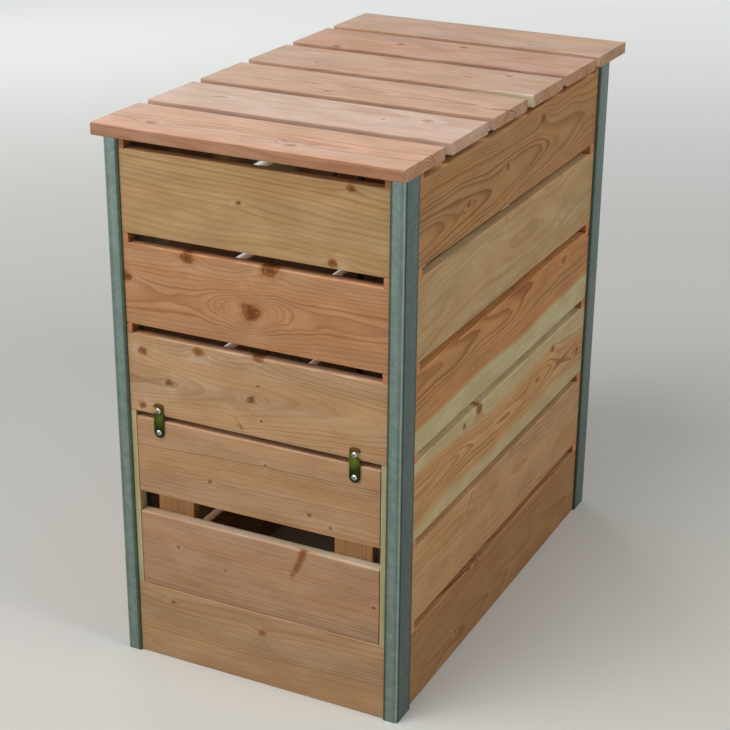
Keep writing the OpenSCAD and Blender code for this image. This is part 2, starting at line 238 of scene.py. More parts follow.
def ring_profile_group():
    """Turns the distance from the pith into year rings: Late is 0 in the pale early wood, climbs
    to the dark late wood and drops at the next year's edge. Widths and strengths vary."""
    net, source, give = new_group("Ring Profile", ["Seed"], ["Radius", "Width"], ["Late"])
    count = net.math("DIVIDE", source["Radius"], source["Width"])
    line = net.vector("ADD", net.add("ShaderNodeCombineXYZ", {0: count}), source["Seed"])
    uneven = net.noise(line, scale=WIDTH_PACE, detail=1.0)
    count = net.line(uneven, WIDTH_SHIFT, count)
    year = net.math("FRACT", count)
    late = net.times(net.ramp(year, LATE_FROM, LATE_FULL), net.ramp(year, 1.0, LATE_END))
    whole = net.add("ShaderNodeCombineXYZ", {0: net.math("FLOOR", count)})
    strength = net.add("ShaderNodeTexWhiteNoise", {0: whole}, noise_dimensions="3D")
    strength = net.line(net.math("POWER", strength, KEEP_FEW), MORE, LEAST)
    give("Late", net.times(late, strength))
    return net.tree


# How fast the fibres' noises change for each mm along and across the grain
STREAK_PACE, SHADE_PACE, DUCT_PACE, CLOUD_PACE = (0.018, 0.8), (0.0022, 0.028), (0.06, 0.9), (0.009, 0.024)


def fibre_group():
    """Fibres along X: Streak is fine and even, Shade is a slow change from one strip to the next,
    Duct is 1 in the few short dark resin ducts, and Cloud is a soft change of tone."""
    outputs = ["Streak", "Shade", "Duct", "Cloud"]
    net, source, give = new_group("Fibre", ["Position", "Seed"], [], outputs)

    def stretched(along, across):
        return net.vector("MULTIPLY_ADD", source["Position"], (along, across, across), source["Seed"])

    give("Streak", net.noise(stretched(*STREAK_PACE), detail=3.0, rough=0.6))
    give("Shade", net.noise(stretched(*SHADE_PACE)))
    duct = net.noise(stretched(*DUCT_PACE), detail=0.0)
    give("Duct", net.ramp(duct, 0.79, 0.86))
    cloud = net.noise(stretched(*CLOUD_PACE), detail=3.0)
    give("Cloud", net.ramp(cloud, 0.32, 0.68))
    return net.tree


# How far from the edge the painted highlight on an arris is gone, and up to where it is full, in mm
ARRIS_FADE = (3.4, 0.5)


def arris_group():
    """1 along the rounded long edges of a bar of the given Size, in mm, and 0 on its faces."""
    net, source, give = new_group("Arris", ["Position", "Size"], [], ["Edge"])
    half = net.vector("SCALE", source["Size"], 0.5)
    off = net.vector("ABSOLUTE", net.vector("SUBTRACT", source["Position"], half))
    inner = net.split(net.vector("SUBTRACT", half, off))
    near_side, near_top = [net.ramp(inner[k], *ARRIS_FADE) for k in (1, 2)]
    give("Edge", net.times(near_side, near_top))
    return net.tree


# On zinc: how often for each metre and how far in metres the crystals' edges bend, and how fine
# the mottle and the scuffs are. Along its length a scuff changes by SCUFF_PACE.
EDGE_SCALE, EDGE_REACH, MOTTLE_SCALE, SCUFF_PACE = 90.0, 0.008, 700.0, 3.0


def spangle_group():
    """Zinc crystals on sheet: Tone differs from one crystal to the next, Grain is a fine mottle and
    Scuff the long faint scratches of handling, along Z."""
    net, source, give = new_group("Spangle", ["Position"], ["Scale"], ["Tone", "Grain", "Scuff"])
    at = source["Position"]
    noise = net.noise(at, scale=EDGE_SCALE, out="Color")
    bent = net.vector("MULTIPLY_ADD", noise, (EDGE_REACH,) * 3, at)
    cells = net.add("ShaderNodeTexVoronoi", {"Vector": bent, "Scale": source["Scale"]}, "Color")
    give("Tone", net.split(cells)[0])
    give("Grain", net.noise(at, scale=MOTTLE_SCALE, detail=3.0, rough=0.7))
    long = net.vector("MULTIPLY", at, (MOTTLE_SCALE, MOTTLE_SCALE, SCUFF_PACE))
    give("Scuff", net.ramp(net.noise(long, rough=0.6), 0.62, 0.8))
    return net.tree


GROWTH_RINGS = growth_rings_group()
BRANCH = branch_group()
RING_PROFILE = ring_profile_group()
FIBRE = fibre_group()
ARRIS = arris_group()
SPANGLE = spangle_group()


# Wood


class Log(NamedTuple):
    """How a piece was cut from its trunk, in mm. Its pith runs along X, starts at pith (behind the
    best face, up it), and leans and wanders; the years are ring wide. Sapwood starts sap_from out.
    On a piece with brown_shaded_sides the tone is that of its best face, and the other faces are browner by
    the share of side_brown_and_shade: partly a browner tone, partly painted shade."""

    tone: tuple
    pith: tuple
    ring: float
    lean: tuple
    wander: float
    contrast: float
    knots: tuple = ()
    knot_share: float = 0.85
    sap: tuple = ()
    sap_from: float = 0.0
    brown_shaded_sides: bool = False
    side_brown_and_shade: float = 0.3


def shifted(colour, factors):
    """A colour with its three light values multiplied."""
    return (*[c * f for c, f in zip(colour, factors)], 1.0)


COOL, WARM = (0.95, 1.02, 1.09), (1.05, 0.98, 0.88)
LATE_WOOD, SAP_LATE_WOOD = (0.50, 0.35, 0.20, 1), (0.78, 0.70, 0.58, 1)
FIBRE_SHADE, END_SHADE = (0.86, 0.82, 0.77, 1), (0.92, 0.86, 0.76, 1)
# Painted shade with a browner tone, on the faces behind the best face of a piece with brown_shaded_sides
SIDE_BROWN_AND_SHADE = (0.74, 0.62, 0.50, 1)
CLOUD_DARK, CLOUD_PALE = (0.90, 0.87, 0.83, 1), (1.05, 1.07, 1.09, 1)
# Painted light: top edges paler as if lit from above, and a painted highlight on the arrises
PAINTED_TOP_LIGHT, PAINTED_ARRIS_HIGHLIGHT = (1.32, 1.46, 1.8, 1), (1.48, 1.34, 1.5, 1)
PALE_PATCH, KNOT_HALO = (1.09, 1.18, 1.36, 1), (0.84, 0.66, 0.44, 1)
KNOT_WOOD, KNOT_DARK = linear(152, 94, 38), linear(108, 56, 10)
KNOT_RIM, RESIN = linear(84, 42, 14), linear(120, 70, 36)
# How much of each mark shows. END_CONTRAST is how much more late wood shows on end grain.
END_CONTRAST, DUCT_SHARE, PATCH_SHARE, HALO_SHARE, RIM_SHARE = 1.1, 0.4, 0.75, 0.75, 0.6
# How much of the painted top light and the painted arris highlight show
TOP_LIGHT_SHARE, ARRIS_HIGHLIGHT_SHARE = 0.7, 0.6
# Where the marks of a knot start and are full, by the distance to its branch over its size, and a
# distance beyond them all
PATCH_REACH, HALO_REACH, KNOT_REACH, CORE_REACH = (5.5, 2.2), (2.0, 0.95), (1.2, 0.75), (0.75, 0.25)
RIM_INSIDE, RIM_OUTSIDE, CLEAR_OF_KNOTS = (0.8, 0.96), (1.16, 1.0), 9.0
# How wide the border of the sapwood is, and how far it wanders, in mm
SAP_BORDER, SAP_WANDER = 12.0, 9.0


def show(name, data):
    """An object in the scene, with the mesh, light or camera that it shows."""
    thing = bpy.data.objects.new(name, data)
    bpy.context.scene.collection.objects.link(thing)
    return thing


def new_material(name):
    """A material with a Principled shader and nothing else, and the net to wire it with."""
    material = bpy.data.materials.new(name)
    material.use_nodes = True
    return material, Net(material.node_tree), material.node_tree.nodes["Principled BSDF"]


def dress(net, shader, colour, rough, height, strength, depth):
    """Joins a colour, a roughness and a bump of the given height to a material's shader."""
    bump = net.add("ShaderNodeBump", {"Height": height, "Strength": strength, "Distance": depth})
    for key, value in (("Base Color", colour), ("Roughness", rough), ("Normal", bump)):
        net.tree.links.new(value, shader.inputs[key])


def timber_material(name, seat, log, seed):
    """Larch with its rings, knots, fibres, end grain and arrises, worked out inside the wood in mm: X along
    the grain, Y in from the best face, Z across, from the corner of the piece. Top edges get painted light
    and arrises a painted highlight; a piece with brown_shaded_sides instead gets painted shade and a browner
    tone behind its best face."""
    material, net, shader = new_material(name)
    turn = Matrix(seat.axes)
    at = net.add("ShaderNodeMapping", {
        "Vector": net.add("ShaderNodeTexCoord", out="Object"),
        "Location": -(turn @ Vector(seat.origin)) / MM,
        "Rotation": turn.to_euler("XYZ"),
        "Scale": (1 / MM,) * 3,
    })
    normal = net.add("ShaderNodeTexCoord", out="Normal")
    facing = net.vector("DOT_PRODUCT", normal, seat.axes[0])
    end = net.ramp(net.math("ABSOLUTE", facing), 0.6, 0.9)

    radius = net.group(GROWTH_RINGS, Position=at, Pith=(0, *log.pith), Lean=(0, *log.lean),
                       Wander=log.wander, Seed=seed)[0]
    nearest = CLEAR_OF_KNOTS
    for pith_end, bark_end, size, swirl, faint in log.knots:
        radius, nearest = net.group(BRANCH, Position=at, Pith_End=pith_end, Bark_End=bark_end, Size=size,
                                    Swirl=swirl, Faint=faint, Radius=radius, Nearest=nearest)
    ring = net.group(RING_PROFILE, Radius=radius, Width=log.ring, Seed=seed)[0]
    streak, shade, duct, cloud = net.group(FIBRE, Position=at, Seed=seed)
    edge = net.group(ARRIS, Position=at, Size=[s / MM for s in seat.size])[0]

    # Strips of cooler and warmer wood, darkened by late wood, fibres and resin
    tone = linear(*log.tone)
    contrast = net.line(end, END_CONTRAST, log.contrast)
    late_share = net.math("MULTIPLY", ring, contrast, clamp=True)
    colour = net.mix(net.ramp(shade, 0.25, 0.75), shifted(tone, COOL), shifted(tone, WARM))
    dark = LATE_WOOD
    if log.sap:
        out_of_heart = net.line(shade, SAP_WANDER, radius)
        in_sap = net.ramp(out_of_heart, log.sap_from, log.sap_from + SAP_BORDER)
        colour = net.mix(in_sap, colour, linear(*log.sap))
        dark = net.mix(in_sap, LATE_WOOD, SAP_LATE_WOOD)
    colour = net.tint(1.0, colour, net.mix(cloud, CLOUD_DARK, CLOUD_PALE))
    colour = net.tint(late_share, colour, dark)
    colour = net.tint(net.ramp(streak, 0.3, 0.75), colour, FIBRE_SHADE)
    colour = net.mix(net.times(duct, DUCT_SHARE), colour, RESIN)
    height = net.line(ring, 0.35, net.times(streak, 0.45))

    # Knots, by the distance to the branch over its size: a pale patch to one side, an orange halo,
    # brown wood with a dark core and dark spots, and a broken rim
    if log.knots:
        mottle = net.noise(at, scale=0.12, detail=1.0)
        one_side = net.ramp(net.noise(at, scale=0.03, detail=1.0), 0.48, 0.62)
        patch = net.times(net.ramp(nearest, *PATCH_REACH), one_side)
        colour = net.tint(net.times(patch, PATCH_SHARE), colour, PALE_PATCH)
        halo = net.times(net.ramp(nearest, *HALO_REACH), log.knot_share * HALO_SHARE)
        colour = net.tint(halo, colour, KNOT_HALO)
        dark = net.math("MAXIMUM", net.ramp(mottle, 0.42, 0.6), net.ramp(nearest, *CORE_REACH))
        wood = net.mix(dark, KNOT_WOOD, KNOT_DARK)
        colour = net.mix(net.times(net.ramp(nearest, *KNOT_REACH), log.knot_share), colour, wood)
        rim = net.times(net.ramp(nearest, *RIM_INSIDE), net.ramp(nearest, *RIM_OUTSIDE))
        rim = net.times(rim, net.ramp(mottle, 0.56, 0.44))
        colour = net.mix(net.times(rim, log.knot_share * RIM_SHARE), colour, KNOT_RIM)
        height = net.math("SUBTRACT", height, net.times(rim, 0.5))

    # A piece with brown_shaded_sides is browner behind its best face, partly a browner tone and partly
    # painted shade; others get painted light: paler top edges, as if lit from above, and a painted highlight
    # on the arrises
    if log.brown_shaded_sides:
        below = net.times(net.ramp(net.split(at)[1], 0.6, 2.4), net.math("SUBTRACT", 1.0, end))
        colour = net.tint(net.times(below, log.side_brown_and_shade), colour, SIDE_BROWN_AND_SHADE)
    else:
        up = net.ramp(net.split(normal)[2], 0.75, 0.97)
        colour = net.tint(net.times(up, TOP_LIGHT_SHARE), colour, PAINTED_TOP_LIGHT)
        colour = net.tint(net.times(edge, ARRIS_HIGHLIGHT_SHARE), colour, PAINTED_ARRIS_HIGHLIGHT)
    colour = net.tint(end, colour, END_SHADE)
    rough = net.math("MAXIMUM", net.line(streak, 0.22, 0.5), net.times(end, 0.78))
    shader.inputs["Specular IOR Level"].default_value = 0.3
    dress(net, shader, colour, rough, height, 0.35, 0.4 * MM)
    return material


def zinc_material(name, colour, other, rough, scale, spread, scuffs, marks):
    """Zinc on steel. It shifts between two colours, by spread from crystal to crystal and for the rest in a
    slow cloud, and has mottle in its gloss and pale scuffs. marks, given the net, the place and the colour so
    far, adds this piece's own marks and painted light and shade."""
    material, net, shader = new_material(name)
    place = net.add("ShaderNodeTexCoord", out="Object")
    tone, grain, scuff = net.group(SPANGLE, Position=place, Scale=scale)
    cloud = net.ramp(net.noise(place, scale=scale * 0.22), 0.36, 0.64)
    share = net.math("ADD", net.times(tone, spread), net.times(cloud, 1 - spread))
    base = net.mix(share, colour, other)
    base = net.mix(net.times(scuff, scuffs), base, linear(226, 228, 226))
    base = marks(net, place, base)
    gloss = net.line(tone, 0.08, rough)
    gloss = net.line(grain, 0.1, gloss)
    height = net.line(grain, 0.6, net.times(tone, 0.2))
    shader.inputs["Metallic"].default_value = 1.0
    dress(net, shader, base, gloss, height, 0.12, 0.2 * MM)
    return material


def band(net, value, middle, half):
    """1 at the middle of a band, 0 from half its width away."""
    return net.ramp(net.math("ABSOLUTE", net.math("SUBTRACT", value, middle)), half, 0.0)


def streaks_and_painted_light(net, place, base):
    """On a post: streaks up the sheet, and painted light: a painted highlight along the fold between two
    painted dark reflections, painted shade on the lips, and a side face painted darker than the front. Across
    runs from the front lip, 28, over the fold, 0, to the side lip, -55."""
    across = net.add("ShaderNodeAttribute", out="Fac", attribute_name="across")
    up = net.split(place)[2]
    streak = net.noise(net.add("ShaderNodeCombineXYZ", {0: across, 2: net.times(up, 2.4)}),
                       scale=0.45, detail=3.0, rough=0.6)
    lips = net.math("MAXIMUM", net.ramp(across, 21.0, 24.0), net.ramp(across, -45.0, -50.0))
    # Streaks up the sheet; then painted shade: the side face darker than the front, a painted dark reflection
    # on the front near the fold, and painted shade on the lips
    for share, factors in (
        (net.times(net.ramp(streak, 0.42, 0.7), 0.6), (0.72, 0.76, 0.78)),
        (net.ramp(across, -1.5, -4.5), (0.55, 0.59, 0.61)),
        (net.times(band(net, across, 6.5, 4.0), 0.6), (0.66, 0.72, 0.66)),
        (net.times(lips, 0.9), (0.36, 0.38, 0.28)),
    ):
        base = net.tint(share, base, (*factors, 1))
    # A painted highlight along the fold, and a painted dark reflection just past it on the side face
    base = net.mix(net.times(band(net, across, 1.4, 1.8), 0.45), base, linear(190, 204, 196))
    return net.mix(net.times(band(net, across, -4.0, 4.5), 0.9), base, linear(44, 54, 56))


def painted_reflection_and_plating(net, place, base):
    """On a latch: a painted dark green reflection over the lower half, and the yellow film runs to brown at
    the hook, at heights in metres above the ground."""
    up = net.line(net.noise(place, scale=70.0), 0.012, net.split(place)[2])
    # Painted dark green reflection over the lower half
    base = net.mix(net.times(net.ramp(up, 0.494, 0.468), 0.9), base, linear(30, 48, 22))
    return net.mix(net.times(net.ramp(up, 0.498, 0.512), 0.75), base, linear(104, 72, 32))


def painted_recess_shade(net, place, base):
    """On a screw: painted shade in the cross recess, which is dull and dark."""
    recess = net.add("ShaderNodeAttribute", out="Fac", attribute_name="recess")
    return net.mix(recess, base, linear(48, 50, 48))


# Where a bar of wood lies


class Seat:
    """A bar's own corner, axes and size: X along the grain, Y in from the best face, Z across."""

    def __init__(self, low, high, along, best, turn=0.0, shift=(0, 0, 0)):
        inward = -best
        axes = [along, inward, along.cross(inward)]
        low, high = Vector(low), Vector(high)
        corner = Vector([low[k] if max(a[k] for a in axes) > 0.5 else high[k] for k in range(3)])
        spin = Matrix.Rotation(turn, 3, "Z")
        self.size = [abs((high - low).dot(a)) for a in axes]
        self.origin = spin @ corner + Vector(shift)
        self.axes = [spin @ a for a in axes]

    def out(self, points):
        """Points given along the bar's own axes, put into the row frame."""
        return points @ np.array([list(a) for a in self.axes]) + np.array(self.origin)


def solids(node, reach, turn=0.0, shift=(0, 0, 0), counted=(1, 1, 1)):
    """Boxes of a node's separate solids: points nearer than reach to a solid's first point are its,
    as measured along the counted axes. With a turn and shift, the boxes are in the frame that these
    move to the row frame."""
    vertices = frame["nodes"][node].data.vertices
    points = np.empty(len(vertices) * 3, np.float32)
    vertices.foreach_get("co", points)
    points = points.reshape(-1, 3).astype(float) - np.array(shift)
    c, s = math.cos(-turn), math.sin(-turn)
    points = points @ np.array([[c, s, 0], [-s, c, 0], [0, 0, 1]])
    found = []
    while len(points):
        near = np.linalg.norm((points - points[0]) * counted, axis=1) < reach
        found.append((points[near].min(0), points[near].max(0)))
        points = points[~near]
    return found


# Shapes


def rounded_section(thick, high, r, steps, rows, edge_rows):
    """Closed outline of a bar's section, from the foot of its best face up, over and back: straight
    runs and, at each corner, a quarter circle of radius r in the given steps."""
    turn = np.linspace(0, np.pi / 2, steps + 1)
    face = np.c_[np.zeros(rows - 1), np.linspace(r, high - r, rows + 1)[1:-1]]
    top = np.c_[np.linspace(r, thick - r, edge_rows + 1)[1:-1], np.full(edge_rows - 1, high)]
    bends = [np.c_[-np.cos(turn), np.sin(turn)] * r + (r, high - r),
             np.c_[np.sin(turn), np.cos(turn)] * r + (thick - r, high - r)]
    first = np.concatenate([face, bends[0], top, bends[1]])
    return np.concatenate([first, np.array([thick, high]) - first])


def skin(rings, closed_ends=True):
    """A mesh through rings of equal count: rings is (n, m, 3). Neighbours are joined by quads, and
    closed ends are one face each. Gives points and faces."""
    n, m = rings.shape[:2]
    ring, point = np.meshgrid(np.arange(n - 1), np.arange(m), indexing="ij")
    a = ring * m + point
    b = ring * m + (point + 1) % m
    quads = np.stack([a, b, b + m, a + m], -1).reshape(-1, 4).tolist()
    if closed_ends:
        quads += [list(range(m))[::-1], list(range((n - 1) * m, n * m))]
    return rings.reshape(-1, 3), quads


def timber_skin(seat, r, seed, cell=0.045, warp=0.00025, end_r=0.0006):
    """A bar as it comes from the saw: its section is carried along X, each face dips inwards by up
    to warp in slow waves, and at the ends the section shrinks by end_r on a quarter circle."""
    length, thick, high = seat.size
    section = rounded_section(thick, high, r, 4, max(2, round(high / 0.02)), max(2, round(thick / 0.008)))
    side = np.sign(section - np.array([thick, high]) / 2)
    turn = np.linspace(0, np.pi / 2, 4)
    ease, shrink = end_r * (1 - np.cos(turn)), end_r - end_r * np.sin(turn)
    steps = max(3, round(length / cell))
    between = np.linspace(end_r, length - end_r, steps + 1)[1:-1]
    along = np.concatenate([ease, between, (length - ease)[::-1]])[:, None]
    inset = np.concatenate([shrink, np.zeros(steps - 1), shrink[::-1]])[:, None]
    rng = np.random.default_rng(seed)
    phase = rng.uniform(0, 2 * np.pi, (4, 2))
    rate = rng.uniform(4.0, 11.0, (4, 2))
    rings = np.empty((len(along), len(section), 3))
    rings[..., 0] = along
    for k, twist in ((0, 3 * section[:, 1] / high), (1, 0)):
        waves = np.sin(rate[k, 0] * along + phase[k, 0]) + np.sin(rate[k, 1] * along + twist + phase[k, 1])
        rings[..., k + 1] = section[:, k] - side[:, k] * (inset + warp * 0.25 * (2 + waves))
    points, faces = skin(rings)
    return seat.out(points), [f[::-1] for f in faces]


def joined(parts):
    """Several (points, faces) as one."""
    points, faces, count = [], [], 0
    for p, f in parts:
        points.append(p)
        faces += [[i + count for i in face] for face in f]
        count += len(p)
    return np.concatenate(points), faces


def make_piece(name, parts, material, node, smooth_angle=35, **values):
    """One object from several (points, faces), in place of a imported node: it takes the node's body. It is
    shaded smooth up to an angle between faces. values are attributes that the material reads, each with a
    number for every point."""
    points, faces = joined(parts)
    mesh = bpy.data.meshes.new(name)
    mesh.from_pydata(points.tolist(), [], faces)
    mesh.validate()
    for attribute, numbers in values.items():
        mesh.attributes.new(attribute, "FLOAT", "POINT").data.foreach_set("value", numbers)
    mesh.materials.append(material)
    mesh.shade_smooth()
    mesh.set_sharp_from_angle(angle=math.radians(smooth_angle))
    piece = show(name, mesh)
    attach(piece, BODY_OF[node])
    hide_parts(node)


# How each board was cut, and where its knots are


def knot(x, z, size, swirl=1.2, lean=6, drop=0):
    """A branch that crosses the board from behind to its best face, at x, z on that face."""
    return (x - lean, 34.0, z - drop), (x + lean * 0.2, -6.0, z + drop * 0.2), size * 1.15, swirl, 0.0


def spike(x0, z0, x1, z1, size, swirl=0.6, faint=0.0):
    """A branch that lies in the face, cut along: a streak from x0, z0 to x1, z1. Where it is faint it
    only tints the wood round it."""
    return (x0, 6.0, z0), (x1, 0.0, z1), size, swirl, faint


SAPWOOD_TONE, BATTEN_TONE, SPACER_TONE = (180, 172, 134), (192, 144, 98), (180, 128, 84)

LOGS = {
    "front_board_1": Log((193, 158, 113), (78, -24), 8.4, (0, -0.05), 30, 0.66, (
        knot(252, 85, 2.6, 2), knot(455, 137, 4.8, 1.2), knot(422, 11, 5.2, 1.2)), 0.95),
    "front_board_2": Log((197, 146, 105), (46, 52), 5.8, (0.01, 0.035), 18, 0.85, (
        knot(151, 138, 8.5), knot(308, 143, 11, 1), knot(30, 85, 6.5),
        knot(271, 63, 12, 2.8, drop=5)), 0.95),
    "front_board_3": Log((196, 158, 120), (40, 62), 4.6, (0.06, 0.02), 16, 0.66, (
        knot(56, 117, 5.4), knot(168, 136, 6.2), knot(281, 148, 8.5), knot(106, 66, 4.8),
        knot(268, 68, 5, 1.4, lean=14), knot(51, 13, 4.4), knot(281, 95, 1.7), knot(287, 32, 1.7),
        spike(226, 44, 249, 10, 4.5, 0.8, 0.75)), 0.85),
    "front_board_6": Log((182, 146, 109), (70, 150), 4.6, (0, 0.02), 12, 0.6, (
        knot(97, 120, 3.2), knot(281, 105, 4.5, 1, lean=12)), 0.6),
    "flap_board_upper": Log((191, 151, 114), (52, -20), 4.8, (0, 0.03), 12, 0.72, (
        knot(146, 51, 2.6), knot(256, 107, 1.8), knot(340, 32, 3, 1.2, lean=14), knot(380, 17, 2.2)), 0.7),
    "flap_board_lower": Log((186, 146, 114), (-60, -46), 4.2, (0, -0.016), 8, 0.65, (
        spike(306, 88, 331, 148, 5.5, 0.7), knot(172, 67, 1.8), knot(75, 90, 2.2), knot(463, 70, 2.3)), 0.7,
        (208, 190, 156), 205),
    "right_board_1": Log((176, 130, 80), (26, 48), 6.55, (0.06, 0.035), 40, 1.5, (
        knot(229, 53, 4, 1.4, lean=16), knot(400, 74, 4, 1.4, lean=16), knot(564, 122, 6, 1.2)), 1),
    "right_board_2": Log((189, 157, 112), (120, 60), 6.4, (0, 0.05), 24, 0.45, (
        spike(664, 50, 684, 58, 2.2, 0.4), spike(401, 92, 403, 146, 1.6, 0.3),
        spike(678, 108, 682, 150, 1.6, 0.3)), 0.45),
    "right_board_3": Log(
        (190, 136, 83), (30, 128), 6.2, (0.035, 0), 34, 1.4, (knot(720, 126, 5),), 0.8, (198, 186, 144), 94),
    "right_board_4": Log((204, 156, 104), (34, 76), 5.6, (0.014, -0.01), 40, 1.4, (
        knot(308, 137, 8, 1.8), knot(240, 130, 4), knot(679, 117, 5), knot(826, 60, 5)), 0.9,
        (198, 178, 134), 58),
    "right_board_5": Log((190, 149, 105), (60, 110), 5, (0.02, -0.03), 22, 0.8, (
        spike(244, 86, 288, 140, 2.6, 0.8), spike(372, 34, 402, 48, 1.6, 0.5),
        spike(160, 44, 178, 52, 1.6, 0.5), spike(462, 40, 492, 50, 1.6, 0.5)), 0.6),
    "right_board_6": Log((168, 125, 81), (50, 20), 5, (0.03, 0.04), 18, 1.3, (
        knot(323, 140, 5), knot(227, 43, 3), spike(350, 84, 420, 90, 1.6, 0.4)), 0.7),
    "lid_board_1": Log((212, 171, 149), (38, 60), 4.8, (0, 0.02), 18, 0.75, (
        knot(90, 44, 5, 1.4, lean=16), knot(356, 37, 6, 1.8, lean=14),
        spike(300, 68, 345, 50, 2.2, 0.6)), 0.4, brown_shaded_sides=True, side_brown_and_shade=1),
    "lid_board_2": Log((214, 186, 168), (120, 120), 4.2, (0, -0.02), 14, 0.85, (
        spike(62, 66, 112, 74, 3, 0.8), knot(486, 102, 5.5), knot(416, 75, 3)), 0.45,
        (212, 183, 168), 60, brown_shaded_sides=True),
    "lid_board_3": Log((206, 171, 150), (30, 64), 4.8, (0.03, 0), 16, 0.75, (
        knot(243, 28, 3.6), spike(536, 46, 574, 56, 4, 1.6), spike(21, 88, 309, 72, 1.4, 0.8),
        ((576, 6, 46), (576, 26, 48), 1.1, 0, 0)), 0.55, brown_shaded_sides=True),
    "lid_board_4": Log((205, 171, 151), (-50, 110), 4.6, (0, 0.09), 14, 0.7, (
        knot(483, 114, 4), spike(388, 80, 424, 70, 2.4, 0.8), knot(121, 43, 3)), 0.6,
        (222, 214, 192), 162, brown_shaded_sides=True),
    "lid_board_5": Log((204, 162, 141), (30, 66), 4.4, (0, 0.01), 14, 0.65, (
        knot(196, 80, 6, 1.8), knot(316, 116, 5, 1.8), spike(418, 84, 464, 92, 2.2, 0.8),
        knot(93, 8, 5)), 0.6, brown_shaded_sides=True),
    "lid_board_6": Log((204, 172, 152), (90, -30), 4.4, (0, -0.08), 18, 0.55, (
        knot(421, 28, 3.4), spike(120, 104, 176, 110, 2, 0.4)), 0.5, brown_shaded_sides=True),
}
UNSEEN_TONES = ((190, 141, 102), (192, 155, 118), (182, 143, 110),
                (190, 154, 112), (186, 138, 94), (194, 163, 120))


def unseen_log(number, high):
    """The log of a wall board that the photo doesn't show, drawn by its number."""
    rng = np.random.default_rng(1000 + number)
    knots = tuple(knot(rng.uniform(40, 500), rng.uniform(0.08, 0.95) * high, rng.uniform(2.5, 8.0),
                       rng.uniform(0.8, 2.6), lean=rng.uniform(3, 14)) for _ in range(rng.integers(1, 4)))
    sap = (204, 188, 146) if rng.random() < 0.35 else ()
    return Log(UNSEEN_TONES[number % len(UNSEEN_TONES)], (rng.uniform(28, 90), rng.uniform(-0.3, 1.2) * high),
               rng.uniform(3.8, 5.0), (rng.uniform(-0.03, 0.03), rng.uniform(-0.04, 0.04)),
               rng.uniform(10, 26), rng.uniform(0.4, 0.75), knots, 0.75, sap, rng.uniform(70, 130))


def narrow_log(number, tone, across, contrast=0.6):
    """The log of a batten, upright or spacer: no knots, and rings near straight."""
    rng = np.random.default_rng(2000 + number)
    return Log(tone, (rng.uniform(20, 60), rng.uniform(-1.5, 0.2) * across), rng.uniform(3.2, 4.4),
               (0.0, rng.uniform(-0.02, 0.02)), 8.0, contrast)


def timber(node, bars, log, r, number):
    """The wood of one node: one bar or more, each (low, high, along, best, turn, shift) or shorter.
    The material is worked out from the first bar's corner."""
    seats = [Seat(*bar) for bar in bars]
    seed = np.random.default_rng(number).uniform(0, 60, 3)
    material = timber_material("larch_" + node, seats[0], log, seed)
    parts = [timber_skin(seat, r, 100 * number + k) for k, seat in enumerate(seats)]
    make_piece("wood_" + node, parts, material, node)


def lid_bar(node, along, best):
    """The one bar of a lid's node, in a box that is turned and moved as the lid is."""
    return [(*solids(node, WHOLE_BAR, LID_TURN, LID_SHIFT)[0], along, best, LID_TURN, LID_SHIFT)]


BOARD_R, BATTEN_R, SPACER_R = 2.5 * MM, 1.5 * MM, 0.8 * MM
# Farther than any two points of one bar of the lid, or of one spacer, are apart, in metres
WHOLE_BAR, WHOLE_SPACER = 2.0, 0.09

# How boards lie in each wall: along the grain, and out of the best face
WALLS = {"front": (X, -Y), "back": (-X, Y), "left": (-Y, -X), "right": (Y, X)}
number = 0
for wall, (along, best) in WALLS.items():
    for row in range(1, 7):
        node = f"{wall}_board_{row}"
        if node not in frame["nodes"]:
            continue
        number += 1
        low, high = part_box(node)
        log = LOGS.get(node) or unseen_log(number, (high.z - low.z) / MM)
        timber(node, [(low, high, along, best)], log, BOARD_R, number)
    node = f"{wall}_spacers"
    bars = [(low, high, along, best) for low, high in solids(node, WHOLE_SPACER)]
    timber(node, bars, narrow_log(number, SPACER_TONE, 17), SPACER_R, 50 + number)

for node in ("flap_board_upper", "flap_board_lower"):
    number += 1
    timber(node, [(*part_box(node), X, -Y)], LOGS[node], BOARD_R, number)
for row in range(1, 7):
    number += 1
    node = f"lid_board_{row}"
    timber(node, lid_bar(node, X, Z), LOGS[node], BOARD_R, number)
for side in ("left", "right"):
    for name, tone, across, contrast, r in (
        ("flap_upright_", SAPWOOD_TONE, 38, 0.3, SPACER_R),
        ("flap_batten_", BATTEN_TONE, 72, 0.8, BATTEN_R),
        ("lid_batten_", BATTEN_TONE, 72, 0.7, BATTEN_R),
    ):
        number += 1
        node = name + side
        bars = lid_bar(node, Y, -Z) if name == "lid_batten_" else [(*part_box(node), Z, -Y)]
        timber(node, bars, narrow_log(number, tone, across, contrast), r, number)


# Steel

GALVANISED = zinc_material("galvanised_sheet", linear(138, 155, 148), linear(118, 137, 132),
                           rough=0.27, scale=320.0, spread=0.5, scuffs=0.25, marks=streaks_and_painted_light)
# The latch's olive and dark green tones: partly the yellow zinc's own colour, partly a painted green
# reflection
YELLOW_ZINC = zinc_material("yellow_zinc_plate", linear(100, 108, 40), linear(46, 66, 26),
                            rough=0.24, scale=150.0, spread=0.1, scuffs=0.15, marks=painted_reflection_and_plating)
BRIGHT_ZINC = zinc_material("bright_zinc_plate", linear(222, 224, 220), linear(190, 194, 190),
                            rough=0.2, scale=300.0, spread=0.3, scuffs=0.2, marks=painted_recess_shade)

# The posts' section, in mm from the corner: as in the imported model
SHEET_T, FACE_W, SIDE_W = 1.5, 28.0, 55.0
FOLD_R, LIP_R, CHANNEL_R = 5.0, 4.0, 3.5
CHANNEL_IN, CHANNEL_OUT = 26.6, 28.1
# Rings of points up a post
POST_LEVELS = 34


